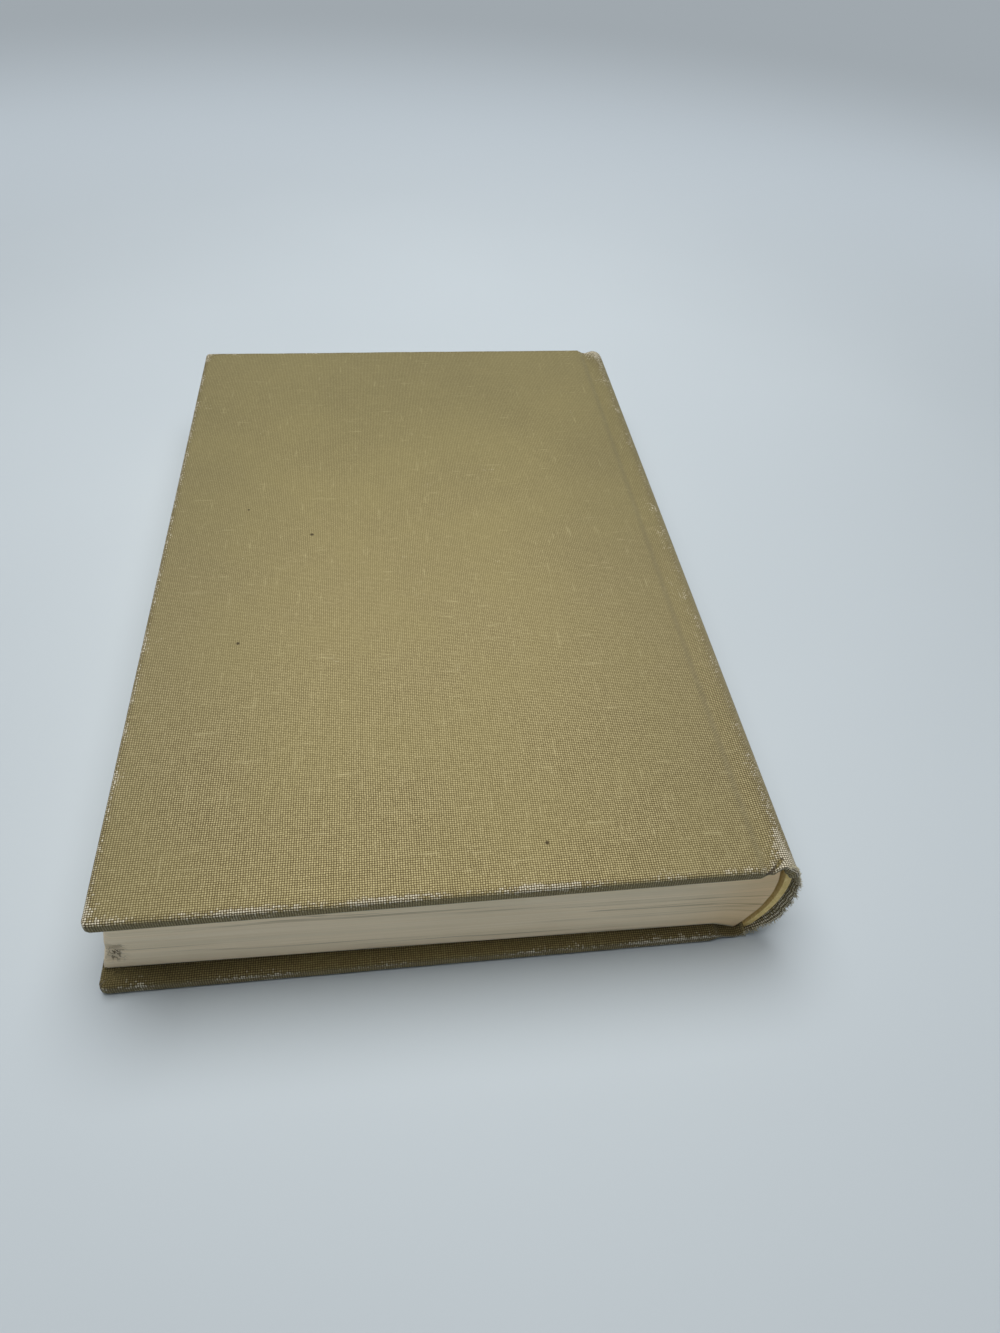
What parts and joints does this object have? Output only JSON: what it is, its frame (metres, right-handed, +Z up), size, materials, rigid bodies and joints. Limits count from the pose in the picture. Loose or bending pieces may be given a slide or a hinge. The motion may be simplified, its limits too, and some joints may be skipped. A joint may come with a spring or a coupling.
{
  "type": "hardcover book",
  "caption": "Worn cloth-bound hardcover book with rounded hollow spine, shallow joint grooves and plain boards that swing open from a one-piece page block.",
  "frame": {"origin": "under the middle of the closed book, on the surface that it lies on", "axes": "+Z up from the front cover to the back cover, +Y from tail to head, +X towards the spine"},
  "size_m": [0.1466, 0.216, 0.0304],
  "materials": {
    "pages": "matt uncoated paper, aged at the edges",
    "endpaper": "matt uncoated paper",
    "mull": "open starched gauze",
    "lining_paper": "brown lining paper",
    "spine_card": "straw-coloured card",
    "bookcloth": "plain-weave bookcloth, rubbed at the edges",
    "binders_board": "grey-brown pressed board"
  },
  "bodies": {
    "page_block": {"text_block": "pages", "back_free_endpaper": "endpaper", "front_free_endpaper": "endpaper", "spine_mull": "mull", "spine_lining": "lining_paper", "spine_inlay": "spine_card", "spine_cloth": "bookcloth"},
    "back_cover": {"back_board": "binders_board", "back_cover_cloth": "bookcloth", "back_mull_flap": "mull", "back_pastedown": "endpaper"},
    "front_cover": {"front_board": "binders_board", "front_cover_cloth": "bookcloth", "front_mull_flap": "mull", "front_pastedown": "endpaper"}
  },
  "joints": [
    {"name": "back_hinge", "type": "hinge", "parent": "page_block", "child": "back_cover", "pos_m": [0.06519, 0, 0.0304], "axis": [0, 1, 0], "range_deg": [0, 175]},
    {"name": "front_hinge", "type": "hinge", "parent": "page_block", "child": "front_cover", "pos_m": [0.06114, 0, 0], "axis": [0, -1, 0], "range_deg": [0, 175]}
  ]
}
